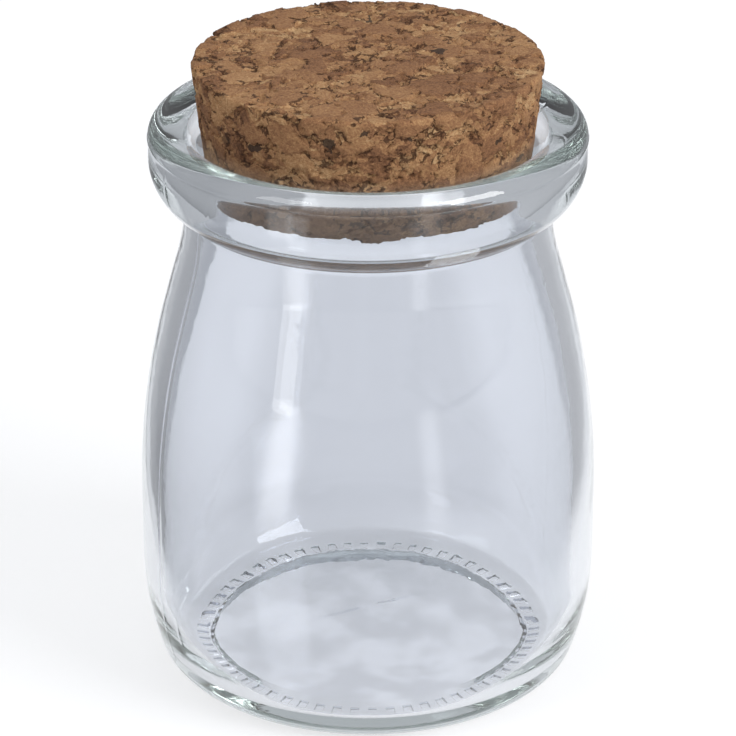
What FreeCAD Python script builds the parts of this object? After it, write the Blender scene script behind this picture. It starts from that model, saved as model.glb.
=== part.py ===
"""Corked glass jar: a thick-walled dessert jar and the tapered cork in its mouth.

Everything is in millimetres, +Z up. The origin is the centre of the jar's
base, on the surface the jar stands on.

Two sub-parts, each a PartDesign body:
  glass_jar     a half-section revolved about Z, with the dimples of the
                knurled standing ring cut into it
  cork_stopper  a tapered plug that wedges in the seat of the jar's bore
"""
import FreeCAD, Part
import math
import os

import Sketcher

# Driving dimensions: alias, value in mm (or a plain count or ratio), meaning.
SIZES = [
    ("jar_height", 76.4, "standing surface to the top of the rim"),
    ("body_radius", 30.0, "outer radius of the upright wall, the widest glass"),
    ("wall_thickness", 2.8, "glass from the upright wall to the neck"),
    ("heel_height", 16.0, "height at which the heel becomes the upright wall"),
    ("heel_radius", 5.0, "tight lower curve of the heel"),
    ("heel_sweep", 40.0, "long upper curve of the heel"),
    ("upright_height", 9.0, "straight upright wall above the heel"),
    ("slope_height", 6.6, "straight slope between shoulder and neck"),
    ("neck_curve_height", 7.1, "hollow curve that runs up under the bead"),
    ("bore_radius", 20.9, "inside of the neck, and foot of the cork's seat"),
    ("bead_height", 11.25, "rim bead, from its underside to the top of the jar"),
    ("bead_reach", 4.5, "how far the bead stands out from the neck"),
    ("bead_under_height", 6.45, "height of the bead's rounded underside"),
    ("rim_round", 2.0, "outer rounding at the top of the bead"),
    ("mouth_flare", 2.1, "how far the mouth's edge stands out from the bore"),
    ("mouth_drop", 1.5, "height that the rim's top falls towards the mouth"),
    ("seat_depth", 8.4, "top of the jar to the foot of the cork's seat"),
    ("seat_height", 3.5, "height of the tapered seat"),
    ("inner_heel_height", 13.9, "height at which the inside of the wall starts to curve in"),
    ("inner_heel_radius", 19.2, "long inside curve from there down to the floor"),
    ("floor_height", 6.4, "standing surface to the middle of the domed inside floor"),
    ("floor_edge_height", 4.5, "standing surface to the edge of that floor"),
    ("floor_corner", 0.5, "small inside corner between floor and heel"),
    ("foot_width", 2.4, "width of the flat ring that the jar stands on"),
    ("punt_step", 1.1, "steep step at the inner side of that ring"),
    ("punt_run", 0.6, "how far the step leans inwards"),
    ("punt_depth", 2.4, "hollow of the base at the axis"),
    ("knurl_count", 60, "dimples round the standing ring"),
    ("knurl_width", 1.2, "width of a dimple"),
    ("knurl_depth", 0.35, "depth of a dimple"),
    ("knurl_margin", 0.25, "flat left at the two ends of a dimple"),
    ("cork_height", 16.1, "length of the cork"),
    ("cork_stand", 8.2, "how far the cork stands above the jar"),
    ("cork_taper", 0.117, "growth of the cork's radius per mm of height"),
    ("cork_edge", 0.5, "rounding of the cork's two edges"),
    ("seat_gap", 0.03, "clearance between the cork and its seat"),
]
SIZE = {alias: value for alias, value, _ in SIZES}


def make_sheet(doc):
    """The spreadsheet that holds the driving dimensions."""
    sheet = doc.addObject("Spreadsheet::Sheet", "Sizes")
    for row, (alias, value, meaning) in enumerate(SIZES, start=1):
        sheet.set(f"A{row}", meaning)
        sheet.set(f"B{row}", str(value))
        sheet.setAlias(f"B{row}", alias)
    doc.recompute()


def origin_feature(body, role):
    """A plane or axis of the body's own origin."""
    return next(item for item in body.Origin.OriginFeatures if item.Role == role)


def add_sketch(body, name, plane):
    """An empty sketch on one of the body's origin planes."""
    sketch = body.newObject("Sketcher::SketchObject", name)
    sketch.AttachmentSupport = [(origin_feature(body, plane), "")]
    sketch.MapMode = "FlatFace"
    return sketch


class Outline:
    """A closed outline of lines and arcs, drawn end to end in a sketch.

    Each edge keeps the numbers of its first and last point, because an arc
    that turns clockwise is stored with its two ends swapped.
    """

    START, END, CENTRE = 1, 2, 3
    ROOT = HORIZONTAL_AXIS = -1
    VERTICAL_AXIS = -2

    def __init__(self, sketch):
        self.sketch = sketch

    def line(self, start, end):
        edge = Part.LineSegment(FreeCAD.Vector(*start, 0), FreeCAD.Vector(*end, 0))
        return self.sketch.addGeometry(edge, False), self.START, self.END

    def arc(self, centre, start, end, clockwise=False):
        if clockwise:
            start, end = end, start
        turn = [math.atan2(y - centre[1], x - centre[0]) for x, y in (start, end)]
        radius = math.hypot(start[0] - centre[0], start[1] - centre[1])
        circle = Part.Circle(FreeCAD.Vector(*centre, 0), FreeCAD.Vector(0, 0, 1), radius)
        index = self.sketch.addGeometry(Part.ArcOfCircle(circle, *turn), False)
        return (index, self.END, self.START) if clockwise else (index, self.START, self.END)

    def rule(self, *args):
        return self.sketch.addConstraint(Sketcher.Constraint(*args))

    def join(self, first, second, smooth=False):
        """The end of one edge meets the start of the next."""
        kind = "Tangent" if smooth else "Coincident"
        self.rule(kind, first[0], first[2], second[0], second[1])

    def concentric(self, first, second):
        self.rule("Coincident", first[0], self.CENTRE, second[0], self.CENTRE)

    def vertical(self, edge):
        self.rule("Vertical", edge[0])

    def horizontal(self, edge):
        self.rule("Horizontal", edge[0])

    def on_axis(self, edge, point):
        self.rule("PointOnObject", edge[0], point, self.VERTICAL_AXIS)

    def size(self, name, formula, *args):
        """A dimension with a name, bound to the sheet by a formula."""
        index = self.rule(*args)
        self.sketch.renameConstraint(index, name)
        self.sketch.setExpression(f"Constraints.{name}", formula)

    def across(self, name, formula, edge, point, value):
        self.size(name, formula, "DistanceX", self.ROOT, 1, edge[0], point, value)

    def up(self, name, formula, edge, point, value):
        self.size(name, formula, "DistanceY", self.ROOT, 1, edge[0], point, value)

    def radius(self, name, formula, edge, value):
        self.size(name, formula, "Radius", edge[0], value)


def bisect(low, high, too_small):
    """The value between low and high at which too_small turns false."""
    for _ in range(60):
        middle = (low + high) / 2
        if too_small(middle):
            low = middle
        else:
            high = middle
    return (low + high) / 2


def jar_points():
    """First positions of the half-section's corners and centres, from the sizes."""
    s = SIZE
    top = s["jar_height"]
    body = s["body_radius"]
    wall = s["wall_thickness"]
    neck = s["bore_radius"] + wall
    bead = neck + s["bead_reach"]
    shoulder_z = s["heel_height"] + s["upright_height"]
    neck_z = top - s["bead_height"]
    slope_top = neck_z - s["neck_curve_height"]
    slope_foot = slope_top - s["slope_height"]

    # Heel: a tight arc on the standing plane, then a long arc up to the wall.
    sweep_centre = (body - s["heel_sweep"], s["heel_height"])
    reach = s["heel_sweep"] - s["heel_radius"]
    rise = s["heel_height"] - s["heel_radius"]
    heel_centre = (sweep_centre[0] + math.sqrt(reach**2 - rise**2), s["heel_radius"])
    heel_meet = tuple(
        centre + s["heel_radius"] * (centre - far) / reach
        for centre, far in zip(heel_centre, sweep_centre))

    # Shoulder: the slope's angle is the one at which the three parts span the step in.
    curves = slope_foot - shoulder_z + s["neck_curve_height"]

    def falls_short(angle):
        span = curves * math.tan(angle / 2) + s["slope_height"] * math.tan(angle)
        return span < body - neck

    angle = bisect(0.0, math.pi / 3, falls_short)
    shoulder_radius = (slope_foot - shoulder_z) / math.sin(angle)
    neck_radius = s["neck_curve_height"] / math.sin(angle)
    shoulder_centre = (body - shoulder_radius, shoulder_z)
    neck_centre = (neck + neck_radius, neck_z)

    def along(centre, radius, side):
        return (centre[0] + side * radius * math.cos(angle),
                centre[1] + side * radius * math.sin(angle))

    # Bead: the underside arc leaves the neck and ends upright at the bead's side.
    under = s["bead_under_height"]
    under_radius = (s["bead_reach"]**2 + under**2) / (2 * s["bead_reach"])
    mouth = s["bore_radius"] + s["mouth_flare"]
    lip_run = bead - s["rim_round"] - mouth
    lip_radius = (lip_run**2 + s["mouth_drop"]**2) / (2 * s["mouth_drop"])
    seat_foot = top - s["seat_depth"]
    seat_top = seat_foot + s["seat_height"]
    inner = body - wall
    foot = heel_centre[0]
    ring = foot - s["foot_width"]
    step = ring - s["punt_run"]
    dome_rise = s["punt_depth"] - s["punt_step"]
    dome_radius = (step**2 + dome_rise**2) / (2 * dome_rise)

    # Inside floor: a shallow dome, and a small corner curve that runs smoothly
    # from the inside of the heel into the dome's edge.
    corner = s["floor_corner"]
    inner_heel = s["inner_heel_radius"]
    inner_heel_centre = (inner - inner_heel, s["inner_heel_height"])
    floor_fall = s["floor_height"] - s["floor_edge_height"]

    def floor_at(angle):
        radius = floor_fall / (1 - math.cos(angle))
        height = s["floor_height"] - radius
        centre = ((radius + corner) * math.sin(angle), height + (radius + corner) * math.cos(angle))
        return radius, height, centre

    def reaches_past(angle):
        return math.dist(floor_at(angle)[2], inner_heel_centre) > inner_heel - corner

    tilt = bisect(0.001, math.pi / 4, reaches_past)
    floor_radius, floor_centre_z, corner_centre = floor_at(tilt)
    inner_heel_foot = tuple(far + (near - far) * inner_heel / (inner_heel - corner)
                            for near, far in zip(corner_centre, inner_heel_centre))
    return {
        "punt": (0, s["punt_depth"]),
        "dome_centre": (0, s["punt_depth"] - dome_radius),
        "step": (step, s["punt_step"]),
        "ring": (ring, 0),
        "foot": (foot, 0),
        "heel_centre": heel_centre,
        "heel_meet": heel_meet,
        "sweep_centre": sweep_centre,
        "wall_foot": (body, s["heel_height"]),
        "wall_top": (body, shoulder_z),
        "shoulder_centre": shoulder_centre,
        "slope_foot": along(shoulder_centre, shoulder_radius, 1),
        "slope_top": along(neck_centre, neck_radius, -1),
        "neck_centre": neck_centre,
        "neck": (neck, neck_z),
        "bead_centre": (bead - under_radius, neck_z + under),
        "bead_foot": (bead, neck_z + under),
        "bead_top": (bead, top - s["rim_round"]),
        "rim_centre": (bead - s["rim_round"], top - s["rim_round"]),
        "rim": (bead - s["rim_round"], top),
        "lip_centre": (bead - s["rim_round"], top - lip_radius),
        "mouth": (mouth, top - s["mouth_drop"]),
        "seat_top": (s["bore_radius"] + s["seat_height"] * s["cork_taper"], seat_top),
        "seat_foot": (s["bore_radius"], seat_foot),
        "bore_foot": (s["bore_radius"], neck_z),
        "inner_slope_top": along(neck_centre, neck_radius + wall, -1),
        "inner_slope_foot": along(shoulder_centre, shoulder_radius - wall, 1),
        "inner_wall_top": (inner, shoulder_z),
        "inner_wall_foot": (inner, s["inner_heel_height"]),
        "inner_heel_centre": inner_heel_centre,
        "inner_heel_foot": inner_heel_foot,
        "corner_centre": corner_centre,
        "floor_centre": (0, floor_centre_z),
        "floor_edge": (floor_radius * math.sin(tilt), s["floor_edge_height"]),
        "floor": (0, s["floor_height"]),
    }


def draw_jar_section(sketch):
    """The jar's half-section: underside, outside, rim, bore and inside."""
    at = jar_points()
    draw = Outline(sketch)

    dome = draw.arc(at["dome_centre"], at["punt"], at["step"], clockwise=True)
    step = draw.line(at["step"], at["ring"])
    ring = draw.line(at["ring"], at["foot"])
    heel = draw.arc(at["heel_centre"], at["foot"], at["heel_meet"])
    sweep = draw.arc(at["sweep_centre"], at["heel_meet"], at["wall_foot"])
    wall = draw.line(at["wall_foot"], at["wall_top"])
    shoulder = draw.arc(at["shoulder_centre"], at["wall_top"], at["slope_foot"])
    slope = draw.line(at["slope_foot"], at["slope_top"])
    neck = draw.arc(at["neck_centre"], at["slope_top"], at["neck"], clockwise=True)
    under = draw.arc(at["bead_centre"], at["neck"], at["bead_foot"])
    side = draw.line(at["bead_foot"], at["bead_top"])
    rim = draw.arc(at["rim_centre"], at["bead_top"], at["rim"])
    lip = draw.arc(at["lip_centre"], at["rim"], at["mouth"])
    flare = draw.line(at["mouth"], at["seat_top"])
    seat = draw.line(at["seat_top"], at["seat_foot"])
    bore = draw.line(at["seat_foot"], at["bore_foot"])
    in_neck = draw.arc(at["neck_centre"], at["bore_foot"], at["inner_slope_top"])
    in_slope = draw.line(at["inner_slope_top"], at["inner_slope_foot"])
    in_shoulder = draw.arc(
        at["shoulder_centre"], at["inner_slope_foot"], at["inner_wall_top"], clockwise=True)
    in_wall = draw.line(at["inner_wall_top"], at["inner_wall_foot"])
    in_heel = draw.arc(
        at["inner_heel_centre"], at["inner_wall_foot"], at["inner_heel_foot"], clockwise=True)
    corner = draw.arc(
        at["corner_centre"], at["inner_heel_foot"], at["floor_edge"], clockwise=True)
    floor = draw.arc(at["floor_centre"], at["floor_edge"], at["floor"])
    axis = draw.line(at["floor"], at["punt"])

    sharp = [(dome, step), (step, ring), (neck, under), (lip, flare), (flare, seat),
             (seat, bore), (floor, axis), (axis, dome)]
    smooth = [(ring, heel), (heel, sweep), (sweep, wall), (wall, shoulder),
              (shoulder, slope), (slope, neck), (under, side), (side, rim), (rim, lip),
              (bore, in_neck), (in_neck, in_slope), (in_slope, in_shoulder),
              (in_shoulder, in_wall), (in_wall, in_heel), (in_heel, corner),
              (corner, floor)]
    for first, second in sharp:
        draw.join(first, second)
    for first, second in smooth:
        draw.join(first, second, smooth=True)

    # The glass keeps one thickness round the shoulder and the neck.
    draw.concentric(shoulder, in_shoulder)
    draw.concentric(neck, in_neck)
    for upright in (wall, side, bore, in_wall):
        draw.vertical(upright)
    draw.horizontal(ring)
    draw.on_axis(axis, draw.START)
    draw.on_axis(axis, draw.END)
    draw.on_axis(dome, draw.CENTRE)
    draw.on_axis(floor, draw.CENTRE)
    draw.rule("Horizontal", neck[0], draw.CENTRE, neck[0], neck[2])
    draw.rule("Vertical", rim[0], draw.CENTRE, rim[0], rim[2])

    # Base and heel.
    draw.rule("PointOnObject", ring[0], draw.START, draw.ROOT)
    draw.up("punt_depth", "Sizes.punt_depth", dome, dome[1], at["punt"][1])
    draw.up("punt_step", "Sizes.punt_step", step, step[1], at["step"][1])
    draw.size("punt_run", "Sizes.punt_run", "DistanceX",
              step[0], draw.START, step[0], draw.END, SIZE["punt_run"])
    draw.size("foot_width", "Sizes.foot_width", "DistanceX",
              ring[0], draw.START, ring[0], draw.END, SIZE["foot_width"])
    draw.radius("heel_radius", "Sizes.heel_radius", heel, SIZE["heel_radius"])
    draw.radius("heel_sweep", "Sizes.heel_sweep", sweep, SIZE["heel_sweep"])

    # Outside, from the wall up to the bead.
    draw.across("body_radius", "Sizes.body_radius", wall, wall[1], at["wall_foot"][0])
    draw.up("heel_height", "Sizes.heel_height", wall, wall[1], at["wall_foot"][1])
    draw.up("shoulder_z", "Sizes.heel_height + Sizes.upright_height",
            wall, wall[2], at["wall_top"][1])
    draw.size("slope_height", "Sizes.slope_height", "DistanceY",
              slope[0], draw.START, slope[0], draw.END, SIZE["slope_height"])
    draw.size("neck_curve_height", "Sizes.neck_curve_height", "DistanceY",
              slope[0], draw.END, neck[0], neck[2], SIZE["neck_curve_height"])
    draw.across("neck_radius", "Sizes.bore_radius + Sizes.wall_thickness",
                neck, neck[2], at["neck"][0])
    draw.up("neck_z", "Sizes.jar_height - Sizes.bead_height", neck, neck[2], at["neck"][1])
    draw.size("bead_reach", "Sizes.bead_reach", "DistanceX",
              neck[0], neck[2], side[0], side[1], SIZE["bead_reach"])
    draw.size("bead_under_height", "Sizes.bead_under_height", "DistanceY",
              neck[0], neck[2], side[0], side[1], SIZE["bead_under_height"])
    draw.radius("rim_round", "Sizes.rim_round", rim, SIZE["rim_round"])
    draw.up("jar_height", "Sizes.jar_height", lip, lip[1], at["rim"][1])

    # Mouth, seat and bore.
    draw.across("mouth_radius", "Sizes.bore_radius + Sizes.mouth_flare",
                flare, flare[1], at["mouth"][0])
    draw.up("mouth_z", "Sizes.jar_height - Sizes.mouth_drop", flare, flare[1], at["mouth"][1])
    draw.size("seat_widening", "Sizes.seat_height * Sizes.cork_taper", "DistanceX",
              seat[0], draw.END, seat[0], draw.START, SIZE["seat_height"] * SIZE["cork_taper"])
    draw.size("seat_height", "Sizes.seat_height", "DistanceY",
              seat[0], draw.END, seat[0], draw.START, SIZE["seat_height"])
    draw.across("bore_radius", "Sizes.bore_radius", seat, seat[2], at["seat_foot"][0])
    draw.up("seat_z", "Sizes.jar_height - Sizes.seat_depth", seat, seat[2], at["seat_foot"][1])

    # Inside.
    draw.across("inner_radius", "Sizes.body_radius - Sizes.wall_thickness",
                in_wall, in_wall[1], at["inner_wall_top"][0])
    draw.up("inner_heel_height", "Sizes.inner_heel_height",
            in_wall, in_wall[2], at["inner_wall_foot"][1])
    draw.radius("inner_heel_radius", "Sizes.inner_heel_radius",
                in_heel, SIZE["inner_heel_radius"])
    draw.radius("floor_corner", "Sizes.floor_corner", corner, SIZE["floor_corner"])
    draw.up("floor_edge_height", "Sizes.floor_edge_height",
            floor, floor[1], at["floor_edge"][1])
    draw.up("floor_height", "Sizes.floor_height", floor, floor[2], at["floor"][1])


def draw_knurl(sketch):
    """One dimple of the standing ring: a rectangle on the +X side of the base."""
    foot = jar_points()["foot"][0]
    outer = foot - SIZE["knurl_margin"]
    inner = foot - SIZE["foot_width"] + SIZE["knurl_margin"]
    half = SIZE["knurl_width"] / 2
    draw = Outline(sketch)
    corners = [(inner, -half), (outer, -half), (outer, half), (inner, half)]
    edges = [draw.line(start, end) for start, end in zip(corners, corners[1:] + corners[:1])]
    for first, second in zip(edges, edges[1:] + edges[:1]):
        draw.join(first, second)
    low, outside, high, inside = edges
    for edge in (low, high):
        draw.horizontal(edge)
    draw.vertical(inside)
    draw.rule("Symmetric", outside[0], draw.START, outside[0], draw.END, draw.HORIZONTAL_AXIS)
    draw.size("knurl_width", "Sizes.knurl_width", "DistanceY",
              outside[0], 1, outside[0], 2, SIZE["knurl_width"])
    foot_formula = ("(Sizes.body_radius - Sizes.heel_sweep + sqrt("
                    "(Sizes.heel_sweep - Sizes.heel_radius)^2 - "
                    "(Sizes.heel_height - Sizes.heel_radius)^2))")
    draw.across("knurl_outer", f"{foot_formula} - Sizes.knurl_margin", low, low[2], outer)
    draw.across("knurl_inner", f"{foot_formula} - Sizes.foot_width + Sizes.knurl_margin",
                low, low[1], inner)


def revolve(body, sketch, name):
    feature = body.newObject("PartDesign::Revolution", name)
    feature.Profile = sketch
    feature.ReferenceAxis = (sketch, ["V_Axis"])
    feature.Angle = 360.0
    return feature


def make_glass_jar(doc):
    """The jar: revolved section, then the ring of dimples under the heel."""
    body = doc.addObject("PartDesign::Body", "GlassJar")
    body.Label = "glass_jar"
    body.Placement = FreeCAD.Placement()
    section = add_sketch(body, "JarSection", "XZ_Plane")
    draw_jar_section(section)
    blank = revolve(body, section, "JarBlank")
    doc.recompute()

    knurl_sketch = add_sketch(body, "KnurlSketch", "XY_Plane")
    draw_knurl(knurl_sketch)
    knurl = body.newObject("PartDesign::Pocket", "Knurl")
    knurl.Profile = knurl_sketch
    knurl.setExpression("Length", "Sizes.knurl_depth")
    knurl.Reversed = True
    doc.recompute()
    if knurl.Shape.Volume >= blank.Shape.Volume:
        raise RuntimeError("the dimple removed no glass")

    ring = body.newObject("PartDesign::PolarPattern", "KnurlRing")
    ring.Originals = [knurl]
    ring.Axis = (origin_feature(body, "Z_Axis"), [""])
    ring.Angle = 360.0
    ring.setExpression("Occurrences", "Sizes.knurl_count")
    body.Tip = ring
    doc.recompute()
    return body


def draw_cork_section(sketch):
    """The cork's half-section, standing on its own foot at the axis."""
    foot_above_seat = (SIZE["cork_stand"] - SIZE["cork_height"] + SIZE["seat_depth"])
    foot = SIZE["bore_radius"] - SIZE["seat_gap"] + foot_above_seat * SIZE["cork_taper"]
    top = foot + SIZE["cork_height"] * SIZE["cork_taper"]
    height = SIZE["cork_height"]
    draw = Outline(sketch)
    under = draw.line((0, 0), (foot, 0))
    side = draw.line((foot, 0), (top, height))
    over = draw.line((top, height), (0, height))
    axis = draw.line((0, height), (0, 0))
    for first, second in ((under, side), (side, over), (over, axis), (axis, under)):
        draw.join(first, second)
    draw.horizontal(under)
    draw.horizontal(over)
    draw.vertical(axis)
    draw.rule("Coincident", under[0], draw.START, draw.ROOT, 1)
    draw.up("cork_height", "Sizes.cork_height", over, over[1], height)
    draw.across("cork_foot_radius",
                "Sizes.bore_radius - Sizes.seat_gap + Sizes.cork_taper * "
                "(Sizes.cork_stand - Sizes.cork_height + Sizes.seat_depth)",
                side, side[1], foot)
    draw.size("cork_widening", "Sizes.cork_height * Sizes.cork_taper", "DistanceX",
              side[0], side[1], side[0], side[2], SIZE["cork_height"] * SIZE["cork_taper"])


def make_cork_stopper(doc):
    """The cork: revolved plug with rounded edges, set down into its seat."""
    body = doc.addObject("PartDesign::Body", "CorkStopper")
    body.Label = "cork_stopper"
    section = add_sketch(body, "CorkSection", "XZ_Plane")
    draw_cork_section(section)
    plug = revolve(body, section, "CorkBlank")
    doc.recompute()
    rims = [f"Edge{index}" for index, edge in enumerate(plug.Shape.Edges, start=1)
            if isinstance(edge.Curve, Part.Circle)]
    rounding = body.newObject("PartDesign::Fillet", "CorkEdges")
    rounding.Base = (plug, rims)
    rounding.setExpression("Radius", "Sizes.cork_edge")
    body.Tip = rounding
    body.setExpression(
        "Placement.Base.z", "Sizes.jar_height + Sizes.cork_stand - Sizes.cork_height")
    doc.recompute()
    return body


def check_document(doc, bodies):
    """Stops with a message when a feature failed or a sub-part is not one valid solid."""
    for item in doc.Objects:
        if "Invalid" in item.State or "Error" in item.State:
            raise RuntimeError(f"{item.Name} failed: {item.State}")
    for body in bodies:
        shape = body.Shape
        if shape.isNull() or not shape.isValid() or len(shape.Solids) != 1:
            raise RuntimeError(f"{body.Label} is not one valid solid")


def main():
    doc = FreeCAD.newDocument("CorkedGlassJar")
    make_sheet(doc)
    bodies = [make_glass_jar(doc), make_cork_stopper(doc)]
    doc.recompute()
    check_document(doc, bodies)
    os.makedirs("parts", exist_ok=True)
    for body in bodies:
        body.Shape.exportStep(f"parts/{body.Label}.step")
        box = body.Shape.BoundBox
        print(f"{body.Label}: volume {body.Shape.Volume:.1f} mm3, "
              f"z {box.ZMin:.3f} to {box.ZMax:.3f}, widest {box.XLength:.3f}")


main()
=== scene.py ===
"""A corked dessert jar: pressed clear glass and a plug of pressed cork granules.

Lengths named _MM are in millimetres and everything handed to Blender is in
metres. The jar stands on z = 0 with its axis on Z.
"""

import math

import bpy
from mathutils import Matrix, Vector


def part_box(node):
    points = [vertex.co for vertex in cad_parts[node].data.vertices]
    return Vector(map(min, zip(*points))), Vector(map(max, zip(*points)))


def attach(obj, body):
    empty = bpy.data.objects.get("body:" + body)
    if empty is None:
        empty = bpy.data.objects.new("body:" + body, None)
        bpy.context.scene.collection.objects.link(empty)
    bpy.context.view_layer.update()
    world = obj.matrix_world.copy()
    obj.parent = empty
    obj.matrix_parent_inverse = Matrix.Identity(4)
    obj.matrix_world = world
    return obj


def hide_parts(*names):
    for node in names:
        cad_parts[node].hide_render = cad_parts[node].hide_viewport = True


MM = 0.001
HALVINGS = 50

# Jar outline, the same sizes as the solid that it stands for. The taper is
# radius for height.
WALL_MM = 2.8
HEEL_TOP_MM = 16.0
HEEL_RADIUS_MM = 5.0
HEEL_SWEEP_MM = 40.0
UPRIGHT_MM = 9.0
SLOPE_MM = 6.6
NECK_CURVE_MM = 7.1
BORE_MM = 20.9
BEAD_HEIGHT_MM = 11.25
BEAD_REACH_MM = 4.5
BEAD_UNDER_MM = 6.45
RIM_ROUND_MM = 2.0
MOUTH_FLARE_MM = 2.1
MOUTH_DROP_MM = 1.5
SEAT_DEPTH_MM = 8.4
SEAT_MM = 3.5
CORK_TAPER = 0.117
INNER_HEEL_TOP_MM = 13.9
INNER_HEEL_MM = 19.2
FLOOR_MM = 6.4
FLOOR_EDGE_MM = 4.5
FLOOR_CORNER_MM = 0.5
FOOT_WIDTH_MM = 2.4
PUNT_STEP_MM = 1.1
PUNT_RUN_MM = 0.6
PUNT_DEPTH_MM = 2.4

# One dimple and one ridge of the standing ring take four steps of the spin.
KNURLS = 60
STEPS_PER_KNURL = 4
SPIN_STEPS = KNURLS * STEPS_PER_KNURL
KNURL_DEPTH_MM = 0.35
KNURL_MARGIN_MM = 0.25

# The parting ridge round the rim, and how far below and above the top of the
# bead's side it begins, crests and ends.
PARTING_MM = 0.06
PARTING_FOOT_MM = 0.25
PARTING_CREST_MM = 0.05
PARTING_HEAD_MM = 0.15
PARTING_TUCK_MM = 0.01

# Two mould seams down the sides, each on a step of the spin.
SEAM_MM = 0.03
SEAM_WIDTH_MM = 0.5
SEAM_FOOT_MM = 4.0
SEAM_HEAD_MM = 2.4
SEAM_RADIUS_MM = 28
SEAM_STEPS = (137, 17)

# Small curves of the mould and of fire polishing: where the bead meets the
# neck, the least step up to that curve, and how far the rounded mouth reaches
# past the top of the cork's seat.
NECK_FILLET_MM = 1.0
FILLET_GAP_MM = 0.1
MOUTH_POLISH_MM = 0.05

# Unevenness of pressed glass. The inside, which is what lies within and above
# two distances, has its floor a little askew, and the lean fades up the wall.
# The wall ripples by a few hundredths of a millimetre between foot and bead,
# and the chill of the mould leaves finer waves all over.
FLOOR_LEAN = math.radians(1.7)
FLOOR_LEAN_FADE_MM = (9.0, 24.0)
INSIDE_WITHIN_MM = 27.4
INSIDE_ABOVE_MM = 2.9
RIPPLE_MM = 0.06
RIPPLES_PER_MM = 0.07
RIPPLE_FOOT_MM = (3.0, 8.0)
RIPPLE_HEAD_MM = (60.0, 68.0)
CHILL_BUMP_MM = 0.012
CHILL_BUMPS_PER_M = 260.0

# The cork: edges and mesh size, then granules and the relief that they leave.
# Its part in the mouth is painted paler, as painted light through the thick glass round it, and the
# change to it lies between two heights.
CORK_EDGE_MM = 0.8
CORK_FOOT_EDGE_MM = 1.5
CORK_MESH_MM = 0.27
PRESSED_FLAT = 1.7
LARGE_GRANULE_MM = 4.0
SMALL_GRANULE_MM = 1.5
GRANULE_BEND_MM = 3.4
GRANULE_FRAY_MM = 1.2
GRANULE_STEP_MM = 0.22
CRACK_MM = (0.004, 0.46)
CRACK_DEPTH_MM = 0.35
FUZZ_MM = 0.22
FIBRE_DEPTH_MM = 0.4
PAINTED_MOUTH_LIGHT_MM = (73.0, 76.5)

# The light table. Its pool of light fades between these distances from the axis,
# to the shares given for its left and right, and widens towards the back. The
# jar's shadow and the patches under its base are drawn into that light.
POOL_LEFT_MM = (50.4, 55.0)
POOL_RIGHT_MM = (51.0, 68.0)
POOL_FRONT_MM = (-100.0, -40.0)
POOL_BEYOND_LEFT = 0.10
POOL_BEYOND_RIGHT = 0.20
POOL_WIDENING = 0.0833
POOL_GLOW = 0.66
SHADOW_HALF_MM = (17.0, 28.0)
SHADOW_NEAR_MM = (30.0, 45.0)
SHADOW_FAR_MM = (130.0, 170.0)
SHADOW_DEPTH = 0.24
BASE_PATCH_MM = (20.0, 26.0)

# Bright wedges in front of the jar: bearing and half width in degrees, strength.
# Each fades from a little inside that width to a little outside it.
WEDGES = ((-43.0, 7.0, 2.2), (31.0, 5.0, 1.1))
WEDGE_FADE_IN = 3.5
WEDGE_FADE_OUT = 2.5
WEDGE_START_MM = (85.0, 150.0)

# Softboxes: bearing and height in degrees, distance, width and height in
# metres, and strength. A bearing of 0 is the camera's side.
SOFTBOXES = {
    "key_right": (58, 30, 1.5, 0.8, 0.8, 8.6),
    "fill_left": (-50, 40, 1.2, 0.4, 0.6, 3.0),
    "panel_left": (-44, 1.5, 1.0, 0.20, 0.13, 2.2),
}
STUDIO_TINT = (0.94, 0.96, 1.0, 1.0)
STUDIO_STRENGTH = 0.62

CAMERA_PLACE_M = (0, -0.4785, 0.2616)
CAMERA_DOWN = math.radians(24.735)
LENS_MM = 196.25
SENSOR_MM = 36.0


# ---------------------------------------------------------------- small tools

def colour(code):
    """An sRGB hex colour as linear RGBA."""
    channels = [int(code[i:i + 2], 16) / 255 for i in (1, 3, 5)]
    linear = [c / 12.92 if c <= 0.04045 else ((c + 0.055) / 1.055) ** 2.4 for c in channels]
    return (*linear, 1.0)


def add_node(tree, kind, inputs=None, **settings):
    """Adds a node. Inputs are plain values or other nodes' sockets; settings its properties."""
    node = tree.nodes.new(kind)
    for name, value in settings.items():
        setattr(node, name, value)
    for name, value in (inputs or {}).items():
        if isinstance(value, bpy.types.NodeSocket):
            tree.links.new(value, node.inputs[name])
        else:
            node.inputs[name].default_value = value
    return node


def maths(tree, operation, first, second=0.0):
    """One step of arithmetic on two numbers."""
    return add_node(tree, "ShaderNodeMath", {0: first, 1: second}, operation=operation).outputs[0]


def vector_maths(tree, operation, first, second=(0, 0, 0)):
    """One step of arithmetic on two vectors."""
    node = add_node(tree, "ShaderNodeVectorMath", {0: first, 1: second}, operation=operation)
    return node.outputs["Vector"]


def scaled(tree, vector, scale):
    """A vector times a number."""
    node = add_node(tree, "ShaderNodeVectorMath", {0: vector, "Scale": scale}, operation="SCALE")
    return node.outputs["Vector"]


def ease(tree, value, low, high, at_low=0.0, at_high=1.0):
    """Smooth step of a value from at_low, at or below low, to at_high, at or above high."""
    node = add_node(tree, "ShaderNodeMapRange", {
        "Value": value, "From Min": low, "From Max": high, "To Min": at_low, "To Max": at_high},
        interpolation_type="SMOOTHSTEP")
    return node.outputs["Result"]


def noise(tree, vector, scale, detail=2.0, roughness=0.5):
    """A cloudy pattern. Its scale is in waves per unit of the vector."""
    return add_node(tree, "ShaderNodeTexNoise", {
        "Vector": vector, "Scale": scale, "Detail": detail, "Roughness": roughness})


def new_material(name):
    """An empty material and its node tree."""
    material = bpy.data.materials.new(name)
    material.use_nodes = True
    material.node_tree.nodes.clear()
    return material, material.node_tree


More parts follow.
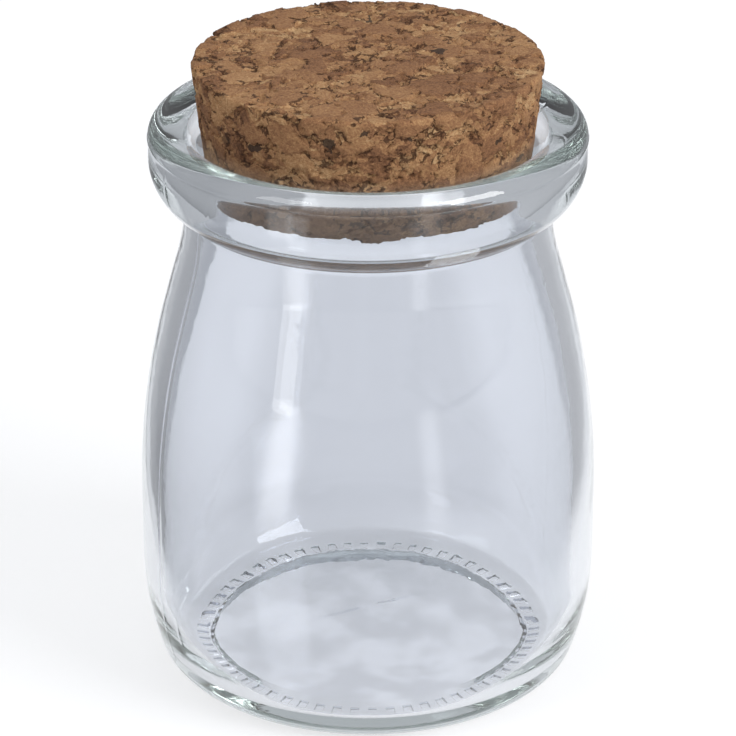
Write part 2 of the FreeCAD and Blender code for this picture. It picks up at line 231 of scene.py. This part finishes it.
def deselect_all():
    """Leaves edit mode and selects nothing."""
    if bpy.context.object and bpy.context.object.mode != "OBJECT":
        bpy.ops.object.mode_set(mode="OBJECT")
    bpy.ops.object.select_all(action="DESELECT")


# ------------------------------------------------------------------- the jar

def arc(centre, start, end, step_mm, clockwise=False):
    """Points after start along an arc, up to and with its end, as (radius, height)."""
    first = math.atan2(start[1] - centre[1], start[0] - centre[0])
    last = math.atan2(end[1] - centre[1], end[0] - centre[0])
    radius = math.dist(centre, start)
    turn = (last - first) % math.tau
    if clockwise:
        turn -= math.tau
    count = max(2, math.ceil(abs(turn) * radius / step_mm))
    return [(centre[0] + radius * math.cos(first + turn * i / count),
             centre[1] + radius * math.sin(first + turn * i / count))
            for i in range(1, count + 1)]


def line(start, end, step_mm):
    """Points after start along a straight line, up to and with its end."""
    count = max(1, math.ceil(math.dist(start, end) / step_mm))
    return [tuple(a + (b - a) * i / count for a, b in zip(start, end))
            for i in range(1, count + 1)]


def heel_centre(body):
    """Centre of the small heel curve, plumb over the outer edge of the standing ring."""
    reach = HEEL_SWEEP_MM - HEEL_RADIUS_MM
    rise = HEEL_TOP_MM - HEEL_RADIUS_MM
    return (body - HEEL_SWEEP_MM + math.sqrt(reach**2 - rise**2), HEEL_RADIUS_MM)


def slope_lean(step_in, rise):
    """Angle of the slope at which it and the curves above and below it span the step in."""
    low, high = 0.0, math.pi / 3
    for _ in range(HALVINGS):
        lean = (low + high) / 2
        span = (rise + NECK_CURVE_MM) * math.tan(lean / 2) + SLOPE_MM * math.tan(lean)
        low, high = (lean, high) if span < step_in else (low, lean)
    return lean


def shoulder_and_neck(body, top):
    """The shoulder and neck curves as centre and radius, and a function for points at the lean."""
    neck = BORE_MM + WALL_MM
    shoulder_z = HEEL_TOP_MM + UPRIGHT_MM
    neck_z = top - BEAD_HEIGHT_MM
    rise = neck_z - NECK_CURVE_MM - SLOPE_MM - shoulder_z
    lean = slope_lean(body - neck, rise)
    shoulder_r = rise / math.sin(lean)
    neck_r = NECK_CURVE_MM / math.sin(lean)
    shoulder_c = (body - shoulder_r, shoulder_z)
    neck_c = (neck + neck_r, neck_z)

    def leaning(centre, radius):
        return (centre[0] + radius * math.cos(lean), centre[1] + radius * math.sin(lean))

    return shoulder_c, shoulder_r, neck_c, neck_r, leaning


def base_and_outside(body, top):
    """From the axis under the base, over the standing ring and up to the foot of the bead.

    The last number of each arc and line is the step between its points, in mm.
    """
    shoulder_c, shoulder_r, neck_c, neck_r, leaning = shoulder_and_neck(body, top)
    sweep_c = (body - HEEL_SWEEP_MM, HEEL_TOP_MM)
    reach = HEEL_SWEEP_MM - HEEL_RADIUS_MM
    heel_c = heel_centre(body)
    heel_meet = tuple(h + HEEL_RADIUS_MM * (h - s) / reach for h, s in zip(heel_c, sweep_c))
    foot = (heel_c[0], 0)
    ring = (foot[0] - FOOT_WIDTH_MM, 0)
    step = (ring[0] - PUNT_RUN_MM, PUNT_STEP_MM)
    dome_rise = PUNT_DEPTH_MM - PUNT_STEP_MM
    dome_r = (step[0]**2 + dome_rise**2) / (2 * dome_rise)
    wall_foot = (body, HEEL_TOP_MM)
    wall_top = (body, shoulder_c[1])
    slope_foot = leaning(shoulder_c, shoulder_r)
    slope_top = leaning(neck_c, -neck_r)
    neck_top = (BORE_MM + WALL_MM, neck_c[1])

    points = [(0, PUNT_DEPTH_MM)]
    points += arc((0, PUNT_DEPTH_MM - dome_r), points[-1], step, 1.0, clockwise=True)
    points += line(step, ring, 0.4)
    points += line(ring, foot, 0.3)
    points += arc(heel_c, foot, heel_meet, 0.5)
    points += arc(sweep_c, heel_meet, wall_foot, 0.8)
    points += line(wall_foot, wall_top, 1.0)
    points += arc(shoulder_c, wall_top, slope_foot, 1.0)
    points += line(slope_foot, slope_top, 1.0)
    points += arc(neck_c, slope_top, neck_top, 0.5, clockwise=True)
    return points


def bead_and_rim(top):
    """From the small curve under the bead, round the bead and over the rim to the mouth."""
    neck = BORE_MM + WALL_MM
    bead = neck + BEAD_REACH_MM
    under_r = (BEAD_REACH_MM**2 + BEAD_UNDER_MM**2) / (2 * BEAD_REACH_MM)
    bead_foot = (bead, top - BEAD_HEIGHT_MM + BEAD_UNDER_MM)
    under_c = (bead - under_r, bead_foot[1])
    fillet_run = neck + NECK_FILLET_MM - under_c[0]
    fillet_rise = math.sqrt((under_r + NECK_FILLET_MM)**2 - fillet_run**2)
    fillet_c = (neck + NECK_FILLET_MM, under_c[1] - fillet_rise)
    fillet_foot = (neck, fillet_c[1])
    fillet_top = (under_c[0] + fillet_run * under_r / (under_r + NECK_FILLET_MM),
                  under_c[1] - fillet_rise * under_r / (under_r + NECK_FILLET_MM))
    bead_top = (bead, top - RIM_ROUND_MM)
    rim = (bead - RIM_ROUND_MM, top)
    mouth = (BORE_MM + MOUTH_FLARE_MM, top - MOUTH_DROP_MM)
    lip_run = rim[0] - mouth[0]
    lip_r = (lip_run**2 + MOUTH_DROP_MM**2) / (2 * MOUTH_DROP_MM)

    points = [fillet_foot]
    points += arc(fillet_c, fillet_foot, fillet_top, 0.15, clockwise=True)
    points += arc(under_c, fillet_top, bead_foot, 0.4)
    points += line(bead_foot, (bead, bead_top[1] - PARTING_FOOT_MM), 0.4)
    points += [(bead + PARTING_MM, bead_top[1] - PARTING_CREST_MM)]
    points += [(bead - PARTING_TUCK_MM, bead_top[1] + PARTING_HEAD_MM)]
    points += arc((rim[0], bead_top[1]), bead_top, rim, 0.25)[1:]
    points += arc((rim[0], top - lip_r), rim, mouth, 0.4)
    return points


def floor_and_corner(inner):
    """The inside heel, corner and floor curves: their centres, and where the corner starts and ends."""
    heel_c = (inner - INNER_HEEL_MM, INNER_HEEL_TOP_MM)
    low, high = 0.001, math.pi / 4
    for _ in range(HALVINGS):
        tilt = (low + high) / 2
        floor_r = (FLOOR_MM - FLOOR_EDGE_MM) / (1 - math.cos(tilt))
        floor_c = (0, FLOOR_MM - floor_r)
        corner_c = ((floor_r + FLOOR_CORNER_MM) * math.sin(tilt),
                    floor_c[1] + (floor_r + FLOOR_CORNER_MM) * math.cos(tilt))
        past = math.dist(corner_c, heel_c) > INNER_HEEL_MM - FLOOR_CORNER_MM
        low, high = (tilt, high) if past else (low, tilt)
    floor_edge = (floor_r * math.sin(tilt), FLOOR_EDGE_MM)
    heel_foot = tuple(h + (c - h) * INNER_HEEL_MM / (INNER_HEEL_MM - FLOOR_CORNER_MM)
                      for c, h in zip(corner_c, heel_c))
    return heel_c, corner_c, floor_c, heel_foot, floor_edge


def seat_and_inside(body, top, mouth):
    """From the mouth, down the cork's seat, the neck and the wall, to the axis on the floor."""
    seat_foot = (BORE_MM, top - SEAT_DEPTH_MM)
    seat = SEAT_MM + MOUTH_POLISH_MM
    seat_top = (BORE_MM + seat * CORK_TAPER, seat_foot[1] + seat)
    across = (math.cos(math.atan(CORK_TAPER)), -math.sin(math.atan(CORK_TAPER)))
    mouth_r = (math.dist(mouth, seat_top)**2
               / sum(2 * (m - t) * a for m, t, a in zip(mouth, seat_top, across)))
    mouth_c = tuple(t + mouth_r * a for t, a in zip(seat_top, across))

    shoulder_c, shoulder_r, neck_c, neck_r, leaning = shoulder_and_neck(body, top)
    inner = body - WALL_MM
    bore_foot = (BORE_MM, neck_c[1])
    slope_top = leaning(neck_c, -neck_r - WALL_MM)
    slope_foot = leaning(shoulder_c, shoulder_r - WALL_MM)
    wall_top = (inner, shoulder_c[1])
    wall_foot = (inner, INNER_HEEL_TOP_MM)
    heel_c, corner_c, floor_c, heel_foot, floor_edge = floor_and_corner(inner)

    points = arc(mouth_c, mouth, seat_top, 0.3)
    points += line(seat_top, seat_foot, 0.7)
    points += line(seat_foot, bore_foot, 0.7)
    points += arc(neck_c, bore_foot, slope_top, 0.6)
    points += line(slope_top, slope_foot, 1.0)
    points += arc(shoulder_c, slope_foot, wall_top, 1.0, clockwise=True)
    points += line(wall_top, wall_foot, 1.0)
    points += arc(heel_c, wall_foot, heel_foot, 0.5, clockwise=True)
    points += arc(corner_c, heel_foot, floor_edge, 0.15, clockwise=True)
    points += arc(floor_c, floor_edge, (0, FLOOR_MM), 1.0)
    return points


def jar_outline(body, top):
    """The whole half-section, from the axis under the base to the axis on the floor."""
    bead = bead_and_rim(top)
    highest = bead[0][1] - FILLET_GAP_MM
    below = [point for point in base_and_outside(body, top) if point[1] < highest]
    return below + bead + seat_and_inside(body, top, bead[-1])


def select_vertices(piece, wanted):
    """Selects, in edit mode, just the vertices that pass the test, and the edges between them."""
    bpy.ops.mesh.select_all(action="DESELECT")
    bpy.ops.mesh.select_mode(type="VERT")
    bpy.ops.object.mode_set(mode="OBJECT")
    for vertex in piece.data.vertices:
        vertex.select = wanted(vertex)
    bpy.ops.object.mode_set(mode="EDIT")
    bpy.ops.mesh.select_mode(type="VERT")


def select_faces(piece, wanted):
    """Selects, in edit mode, just the faces whose centre passes the test."""
    bpy.ops.mesh.select_all(action="DESELECT")
    bpy.ops.mesh.select_mode(type="FACE")
    bpy.ops.object.mode_set(mode="OBJECT")
    for face in piece.data.polygons:
        face.select = wanted(face.center / MM, face.normal)
    bpy.ops.object.mode_set(mode="EDIT")


def sink_dimples(jar, body):
    """Presses the short radial dimples into the standing ring."""
    foot = heel_centre(body)[0]
    inner = foot - FOOT_WIDTH_MM + KNURL_MARGIN_MM
    outer = foot - KNURL_MARGIN_MM
    pitch = 360 / KNURLS

    def in_dimple(centre, normal):
        on_ring = centre.z < 0.05 and normal.z < -0.9
        turn = math.degrees(math.atan2(centre.y, centre.x)) % pitch
        return on_ring and inner < math.hypot(centre.x, centre.y) < outer and turn < pitch / 2

    select_faces(jar, in_dimple)
    bpy.ops.mesh.extrude_region_move(
        TRANSFORM_OT_translate={"value": (0, 0, KNURL_DEPTH_MM * MM)})


def raise_seams(jar, top):
    """Lifts the two mould seams, from the heel up to the parting ridge."""
    for seam in SEAM_STEPS:
        angle = math.tau * seam / SPIN_STEPS

        def on_seam(vertex):
            place = vertex.co / MM
            around = math.remainder(math.atan2(place.y, place.x) - angle, math.tau)
            outward = vertex.normal.x * place.x + vertex.normal.y * place.y > 0
            return abs(around) < 0.001 and outward and SEAM_FOOT_MM < place.z < top - SEAM_HEAD_MM

        select_vertices(jar, on_seam)
        bpy.ops.mesh.bevel(offset=SEAM_WIDTH_MM * MM / 2, segments=2, affect="EDGES")
        select_vertices(jar, on_seam)
        growth = 1 + SEAM_MM / SEAM_RADIUS_MM
        bpy.ops.transform.resize(value=(growth, growth, 1), center_override=(0, 0, 0))


def new_shaping(name):
    """An empty geometry node group: its tree and the socket that gives the mesh."""
    tree = bpy.data.node_groups.new(name, "GeometryNodeTree")
    tree.interface.new_socket("Geometry", in_out="INPUT", socket_type="NodeSocketGeometry")
    tree.interface.new_socket("Geometry", in_out="OUTPUT", socket_type="NodeSocketGeometry")
    return tree, add_node(tree, "NodeGroupInput").outputs[0]


def apply_shaping(piece, tree, mesh, offset):
    """Moves the mesh by the offset as the group's last step, and applies it to the piece."""
    moved = add_node(tree, "GeometryNodeSetPosition", {"Geometry": mesh, "Offset": offset})
    add_node(tree, "NodeGroupOutput", {"Geometry": moved.outputs[0]})
    modifier = piece.modifiers.new(tree.name, "NODES")
    modifier.node_group = tree
    bpy.ops.object.modifier_apply(modifier=modifier.name)


def let_glass_flow(jar):
    """Sets the inside floor askew and ripples the glass between the heel and the neck."""
    tree, mesh = new_shaping("glass_flow")
    place = scaled(tree, add_node(tree, "GeometryNodeInputPosition").outputs[0], 1 / MM)
    x, y, z = add_node(tree, "ShaderNodeSeparateXYZ", {"Vector": place}).outputs
    radius = maths(tree, "SQRT", maths(tree, "ADD", maths(tree, "MULTIPLY", x, x),
                                       maths(tree, "MULTIPLY", y, y)))
    inside = maths(tree, "MULTIPLY", maths(tree, "LESS_THAN", radius, INSIDE_WITHIN_MM),
                   maths(tree, "GREATER_THAN", z, INSIDE_ABOVE_MM))
    share = maths(tree, "MULTIPLY", inside, ease(tree, z, *FLOOR_LEAN_FADE_MM, 1.0, 0.0))
    lift = maths(tree, "MULTIPLY", maths(tree, "MULTIPLY", y, share), math.tan(FLOOR_LEAN) * MM)
    lean = add_node(tree, "ShaderNodeCombineXYZ", {"Z": lift}).outputs[0]

    wave = noise(tree, place, RIPPLES_PER_MM, 1.0).outputs["Fac"]
    depth = maths(tree, "MULTIPLY", maths(tree, "SUBTRACT", 0.5, wave), RIPPLE_MM * MM)
    depth = maths(tree, "MULTIPLY", depth, ease(tree, z, *RIPPLE_FOOT_MM))
    depth = maths(tree, "MULTIPLY", depth, ease(tree, z, *RIPPLE_HEAD_MM, 1.0, 0.0))
    normal = add_node(tree, "GeometryNodeInputNormal").outputs[0]
    ripple = scaled(tree, normal, depth)
    apply_shaping(jar, tree, mesh, vector_maths(tree, "ADD", lean, ripple))


def make_jar(glass):
    """Draws the outline, spins it into the jar and closes it on the axis."""
    low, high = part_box("glass_jar")
    body = (high[0] - low[0]) / 2 / MM
    top = high[2] / MM
    outline = jar_outline(body, top)
    deselect_all()
    bpy.ops.mesh.primitive_plane_add(size=MM)
    jar = bpy.context.object
    jar.name = "pressed_glass_jar"
    bpy.ops.object.mode_set(mode="EDIT")
    bpy.ops.mesh.select_all(action="SELECT")
    bpy.ops.mesh.merge(type="CENTER")
    bpy.ops.transform.translate(value=(0, 0, outline[0][1] * MM))
    for here, there in zip(outline, outline[1:]):
        move = ((there[0] - here[0]) * MM, 0, (there[1] - here[1]) * MM)
        bpy.ops.mesh.extrude_region_move(TRANSFORM_OT_translate={"value": move})
    bpy.ops.mesh.select_all(action="SELECT")
    bpy.ops.mesh.spin(steps=SPIN_STEPS, angle=math.tau, center=(0, 0, 0), axis=(0, 0, 1))
    bpy.ops.mesh.select_all(action="SELECT")
    bpy.ops.mesh.remove_doubles(threshold=0.01 * MM)
    bpy.ops.mesh.normals_make_consistent(inside=False)
    sink_dimples(jar, body)
    raise_seams(jar, top)
    bpy.ops.object.mode_set(mode="OBJECT")
    let_glass_flow(jar)
    bpy.ops.object.shade_smooth_by_angle(angle=math.radians(35))
    jar.data.materials.append(glass)
    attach(jar, "root")
    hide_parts("glass_jar")


def soda_lime_glass():
    """Pressed soda-lime glass, fire polished.

    It is clear and bright at its edges, a little grey-green where the light has
    a long way through it, and the chilled mould leaves fine waves, some 4 mm
    apart, that bend what is seen through them.
    """
    material, tree = new_material("pressed_soda_lime_glass")
    spot = add_node(tree, "ShaderNodeTexCoord").outputs["Object"]
    waves = noise(tree, spot, CHILL_BUMPS_PER_M, 3.0, 0.6).outputs["Fac"]
    bump = add_node(tree, "ShaderNodeBump", {
        "Height": waves, "Strength": 1.0, "Distance": CHILL_BUMP_MM * MM})
    surface = add_node(tree, "ShaderNodeBsdfPrincipled", {
        "Base Color": colour("#ECEEF3"), "Roughness": 0.0, "IOR": 1.52,
        "Transmission Weight": 1.0, "Normal": bump.outputs[0]})
    inside = add_node(tree, "ShaderNodeVolumeAbsorption", {
        "Color": colour("#C6D3CB"), "Density": 12.0})
    add_node(tree, "ShaderNodeOutputMaterial",
             {"Surface": surface.outputs[0], "Volume": inside.outputs[0]})
    return material


# ------------------------------------------------------------------ the cork

def granule_field(tree, place):
    """The cork's granules, worked out from a position in mm.

    The relief and the colours both read this field, so they agree. It gives the
    position as bent and pressed flat, the cell numbers of large and small
    granules, where the large ones are crumbled into small ones, and the cracks.
    """
    middle = (0.5, 0.5, 0.5)
    bend = noise(tree, place, 0.24, 1.0).outputs["Color"]
    fray = noise(tree, place, 1.3, 3.0, 0.6).outputs["Color"]
    bend = scaled(tree, vector_maths(tree, "SUBTRACT", bend, middle), GRANULE_BEND_MM)
    fray = scaled(tree, vector_maths(tree, "SUBTRACT", fray, middle), GRANULE_FRAY_MM)
    shifted = vector_maths(tree, "ADD", place, vector_maths(tree, "ADD", bend, fray))
    pressed = vector_maths(tree, "MULTIPLY", shifted, (1.0, 1.0, PRESSED_FLAT))

    cells, edges = [], []
    for size in (LARGE_GRANULE_MM, SMALL_GRANULE_MM):
        inputs = {"Vector": pressed, "Scale": 1 / size}
        cell = add_node(tree, "ShaderNodeTexVoronoi", inputs).outputs["Color"]
        edge = add_node(tree, "ShaderNodeTexVoronoi", inputs, feature="DISTANCE_TO_EDGE")
        cells.append(add_node(tree, "ShaderNodeSeparateXYZ", {"Vector": cell}))
        edges.append(maths(tree, "MULTIPLY", edge.outputs["Distance"], size))
    large, small = cells

    crumbled = ease(tree, large.outputs["Z"], 0.38, 0.46)
    broken = noise(tree, place, 0.6, 3.0, 0.6).outputs["Fac"]
    width = ease(tree, broken, 0.46, 0.70, *CRACK_MM)
    wide = maths(tree, "DIVIDE", edges[0], width)
    fine = maths(tree, "DIVIDE", edges[1], maths(tree, "MULTIPLY", width, 0.6))
    fine = maths(tree, "ADD", fine, maths(tree, "SUBTRACT", 1.0, crumbled))
    crack = ease(tree, maths(tree, "MINIMUM", wide, fine), 0.3, 1.0, 1.0, 0.0)
    return pressed, large, small, crumbled, crack


def weather_cork(cork):
    """Sinks the cracks, sets the granules at different depths and roughens the whole."""
    tree, mesh = new_shaping("cork_relief")
    place = scaled(tree, add_node(tree, "GeometryNodeInputPosition").outputs[0], 1 / MM)
    _, large, small, crumbled, crack = granule_field(tree, place)
    depth = maths(tree, "MULTIPLY", large.outputs["X"], GRANULE_STEP_MM)
    crumbs = maths(tree, "MULTIPLY", small.outputs["X"], crumbled)
    depth = maths(tree, "ADD", depth, maths(tree, "MULTIPLY", crumbs, GRANULE_STEP_MM))
    depth = maths(tree, "ADD", depth, maths(tree, "MULTIPLY", crack, CRACK_DEPTH_MM))
    fuzz = noise(tree, place, 2.2, 3.0).outputs["Fac"]
    depth = maths(tree, "ADD", depth, maths(tree, "MULTIPLY", fuzz, FUZZ_MM))
    normal = add_node(tree, "GeometryNodeInputNormal").outputs[0]
    apply_shaping(cork, tree, mesh, scaled(tree, normal, maths(tree, "MULTIPLY", depth, -MM)))


def painted(tree, under, code, share):
    """A colour laid over another one, by a share from 0 to 1."""
    mix = add_node(tree, "ShaderNodeMix", {0: share, 6: under, 7: colour(code)}, data_type="RGBA")
    return mix.outputs[2]


def pressed_cork():
    """Ground cork granules pressed with binder and turned to a taper.

    It is matt, tan to brown from granule to granule, with fibres running their
    own way in each, dark crevices and a few scorched chips.
    """
    material, tree = new_material("pressed_cork_granules")
    spot = add_node(tree, "ShaderNodeTexCoord").outputs["Object"]
    place = scaled(tree, spot, 1 / MM)
    pressed, large, small, crumbled, crack = granule_field(tree, place)

    # Tone of each granule, broken up by its own grain, by specks and by wide stains.
    turned = add_node(tree, "ShaderNodeVectorRotate", {
        "Vector": pressed, "Axis": (0.3, 0.2, 0.93),
        "Angle": maths(tree, "MULTIPLY", large.outputs["Y"], math.tau)}).outputs[0]
    along = vector_maths(tree, "MULTIPLY", turned, (0.7, 5.0, 4.0))
    fibre = noise(tree, along, 1.0, 5.0, 0.65).outputs["Fac"]
    speck = noise(tree, place, 3.0, 4.0, 0.7).outputs["Fac"]
    stain = noise(tree, place, 0.16, 2.0).outputs["Fac"]
    crumb = maths(tree, "MULTIPLY", maths(tree, "SUBTRACT", small.outputs["X"], 0.5), crumbled)
    tone = maths(tree, "MULTIPLY", large.outputs["X"], 0.36)
    for part, weight in ((crumb, 0.50), (fibre, 1.35), (speck, 1.00), (stain, 0.35)):
        tone = maths(tree, "ADD", tone, maths(tree, "MULTIPLY", part, weight))
    tone = maths(tree, "SUBTRACT", tone, 1.02)
    ramp = add_node(tree, "ShaderNodeValToRGB", {"Fac": tone})
    stops = ramp.color_ramp.elements
    stops[0].position, stops[0].color = 0.0, colour("#5C3F2C")
    stops[1].position, stops[1].color = 1.0, colour("#C9A57A")
    for position, code in ((0.25, "#80593E"), (0.5, "#9B714E"), (0.75, "#B3895F")):
        stops.new(position).color = colour(code)

    # Dark crevices, a few scorched chips, and painted light: a paler part in the mouth, painted to
    # stand for the haze of the thick glass round it.
    chip = ease(tree, small.outputs["Y"], 0.965, 0.975)
    chip = maths(tree, "MULTIPLY", chip, ease(tree, large.outputs["Y"], 0.72, 0.75))
    height = add_node(tree, "ShaderNodeSeparateXYZ", {"Vector": place}).outputs["Z"]
    paint = painted(tree, ramp.outputs["Color"], "#40281A", maths(tree, "MULTIPLY", crack, 0.85))
    paint = painted(tree, paint, "#2C2420", maths(tree, "MULTIPLY", chip, 0.85))
    paint = painted(tree, paint, "#D3BFA8", ease(tree, height, *PAINTED_MOUTH_LIGHT_MM, 0.3, 0.0))

    rough = maths(tree, "ADD", maths(tree, "MULTIPLY", fibre, 0.6),
                  maths(tree, "MULTIPLY", speck, 0.5))
    bump = add_node(tree, "ShaderNodeBump", {
        "Height": rough, "Strength": 0.8, "Distance": FIBRE_DEPTH_MM * MM})
    surface = add_node(tree, "ShaderNodeBsdfPrincipled", {
        "Base Color": paint, "Roughness": 0.85, "Specular IOR Level": 0.25,
        "Normal": bump.outputs[0]})
    add_node(tree, "ShaderNodeOutputMaterial", {"Surface": surface.outputs[0]})
    return material


def make_cork(cork_material):
    """A turned plug with worn edges, meshed finely and then weathered."""
    low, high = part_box("cork_stopper")
    height = high[2] - low[2]
    top_radius = (high[0] - low[0]) / 2
    foot_radius = top_radius - height * CORK_TAPER
    deselect_all()
    bpy.ops.mesh.primitive_cylinder_add(vertices=180, radius=top_radius, depth=height)
    cork = bpy.context.object
    cork.name = "pressed_cork_stopper"
    bpy.ops.object.mode_set(mode="EDIT")
    bpy.ops.mesh.select_all(action="SELECT")
    bpy.ops.transform.translate(value=(0, 0, (low[2] + high[2]) / 2))
    select_faces(cork, lambda centre, normal: normal.z < -0.9)
    share = foot_radius / top_radius
    bpy.ops.transform.resize(value=(share, share, 1), center_override=(0, 0, low[2]))
    for side, edge in ((1, CORK_EDGE_MM), (-1, CORK_FOOT_EDGE_MM)):
        select_faces(cork, lambda centre, normal: normal.z * side > 0.9)
        bpy.ops.mesh.region_to_loop()
        bpy.ops.mesh.bevel(offset=edge * MM, segments=4, affect="EDGES")
    bpy.ops.object.mode_set(mode="OBJECT")
    mesher = cork.modifiers.new("even_mesh", "REMESH")
    mesher.mode = "VOXEL"
    mesher.voxel_size = CORK_MESH_MM * MM
    bpy.ops.object.modifier_apply(modifier=mesher.name)
    weather_cork(cork)
    bpy.ops.object.shade_smooth()
    cork.data.materials.append(cork_material)
    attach(cork, "root")
    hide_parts("cork_stopper")
    return cork


# ------------------------------------------------------------ floor and light

def pool_of_light(tree, x, y):
    """Light in the table from 0 to 1: it ends sharply on the left and softly on the right."""
    widening = maths(tree, "MULTIPLY", maths(tree, "MAXIMUM", y, 0.0), POOL_WIDENING)
    left = maths(tree, "SUBTRACT", maths(tree, "MULTIPLY", x, -1.0), widening)
    right = maths(tree, "SUBTRACT", x, widening)
    glow = maths(tree, "MULTIPLY", ease(tree, left, *POOL_LEFT_MM, 1.0, POOL_BEYOND_LEFT),
                 ease(tree, right, *POOL_RIGHT_MM, 1.0, POOL_BEYOND_RIGHT))
    return maths(tree, "MULTIPLY", glow, ease(tree, y, *POOL_FRONT_MM))


def jar_shadow(tree, x, y):
    """How deep the jar's shadow is behind it, from 0 to 1."""
    across = ease(tree, maths(tree, "ABSOLUTE", x), *SHADOW_HALF_MM, 1.0, 0.0)
    along = maths(tree, "MULTIPLY", ease(tree, y, *SHADOW_NEAR_MM),
                  ease(tree, y, *SHADOW_FAR_MM, 1.0, 0.0))
    return maths(tree, "MULTIPLY", across, along)


def opal_acrylic():
    """Opal acrylic sheet, lit from below: matt, white and even but for the pool's ends.

    Two wedges in front of the jar shine brighter: they are the upright streaks
    that the glass reflects.
    """
    material, tree = new_material("opal_acrylic_sheet")
    spot = add_node(tree, "ShaderNodeTexCoord").outputs["Object"]
    place = scaled(tree, spot, 1 / MM)
    x, y, _ = add_node(tree, "ShaderNodeSeparateXYZ", {"Vector": place}).outputs
    away = add_node(tree, "ShaderNodeVectorMath", {0: place}, operation="LENGTH").outputs["Value"]

    # A little dimmer in the jar's shadow, brighter and uneven under its base.
    patches = noise(tree, place, 0.11, 2.0, 0.6).outputs["Fac"]
    under = maths(tree, "MULTIPLY", ease(tree, away, *BASE_PATCH_MM, 1.0, 0.0),
                  ease(tree, patches, 0.40, 0.62, 0.04, 0.36))
    dimming = maths(tree, "MULTIPLY", jar_shadow(tree, x, y), SHADOW_DEPTH)
    glow = maths(tree, "MULTIPLY", pool_of_light(tree, x, y),
                 maths(tree, "SUBTRACT", 1.0, dimming))
    shine = maths(tree, "MULTIPLY", maths(tree, "ADD", glow, under), POOL_GLOW)

    bearing = maths(tree, "ARCTAN2", x, maths(tree, "MULTIPLY", y, -1.0))
    for middle, half, strength in WEDGES:
        off = maths(tree, "ABSOLUTE", maths(tree, "SUBTRACT", bearing, math.radians(middle)))
        wedge = ease(tree, off, math.radians(half - WEDGE_FADE_IN),
                     math.radians(half + WEDGE_FADE_OUT), 1.0, 0.0)
        wedge = maths(tree, "MULTIPLY", wedge, ease(tree, away, *WEDGE_START_MM))
        shine = maths(tree, "ADD", shine, maths(tree, "MULTIPLY", wedge, strength))
    surface = add_node(tree, "ShaderNodeBsdfPrincipled", {
        "Base Color": colour("#A8A9AB"), "Roughness": 0.9, "Specular IOR Level": 0.0,
        "Emission Color": (1.0, 1.0, 1.0, 1.0), "Emission Strength": shine})
    add_node(tree, "ShaderNodeOutputMaterial", {"Surface": surface.outputs[0]})
    return material


def make_floor():
    """The light table that the jar stands on, a hair below it."""
    deselect_all()
    bpy.ops.mesh.primitive_plane_add(size=6.0, location=(0, 0, -0.1 * MM))
    floor = bpy.context.object
    floor.name = "light_table"
    floor.data.materials.append(opal_acrylic())


def add_softbox(name, bearing, elevation, distance, width, height, strength):
    """A rectangular softbox that faces the middle of the jar."""
    aim = Vector((0, 0, 0.04))
    side = math.radians(bearing)
    up = math.radians(elevation)
    way = Vector((math.sin(side) * math.cos(up), -math.cos(side) * math.cos(up), math.sin(up)))
    data = bpy.data.lights.new(name, "AREA")
    data.shape = "RECTANGLE"
    data.size = width
    data.size_y = height
    data.energy = strength * width * height * math.pi
    box = bpy.data.objects.new(name, data)
    box.location = aim + way * distance
    box.rotation_euler = way.to_track_quat("Z", "Y").to_euler()
    bpy.context.scene.collection.objects.link(box)


def make_light():
    """Cool light all round, and the softboxes."""
    world = bpy.data.worlds.new("studio")
    bpy.context.scene.world = world
    world.use_nodes = True
    back = world.node_tree.nodes["Background"]
    back.inputs["Color"].default_value = STUDIO_TINT
    back.inputs["Strength"].default_value = STUDIO_STRENGTH
    for name, settings in SOFTBOXES.items():
        add_softbox(name, *settings)


def make_camera():
    """The viewpoint: in front of the jar and above it, with a long lens."""
    data = bpy.data.cameras.new("view")
    data.sensor_width = SENSOR_MM
    data.lens = LENS_MM
    data.clip_start = 0.01
    camera = bpy.data.objects.new("view", data)
    camera.location = CAMERA_PLACE_M
    camera.rotation_euler = (math.pi / 2 - CAMERA_DOWN, 0, 0)
    bpy.context.scene.collection.objects.link(camera)
    bpy.context.scene.camera = camera


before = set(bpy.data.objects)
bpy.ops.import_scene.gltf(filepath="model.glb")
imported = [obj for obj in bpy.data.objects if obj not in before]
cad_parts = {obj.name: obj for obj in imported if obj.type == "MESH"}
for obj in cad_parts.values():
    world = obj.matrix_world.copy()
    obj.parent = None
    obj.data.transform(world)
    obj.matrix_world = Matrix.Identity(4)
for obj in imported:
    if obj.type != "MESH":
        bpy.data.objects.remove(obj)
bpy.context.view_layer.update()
make_jar(soda_lime_glass())
make_cork(pressed_cork())
make_floor()
make_light()
make_camera()
bpy.context.scene.view_settings.view_transform = "Standard"
bpy.context.scene.cycles.max_bounces = 40
bpy.context.scene.cycles.transmission_bounces = 32
bpy.context.scene.cycles.glossy_bounces = 24
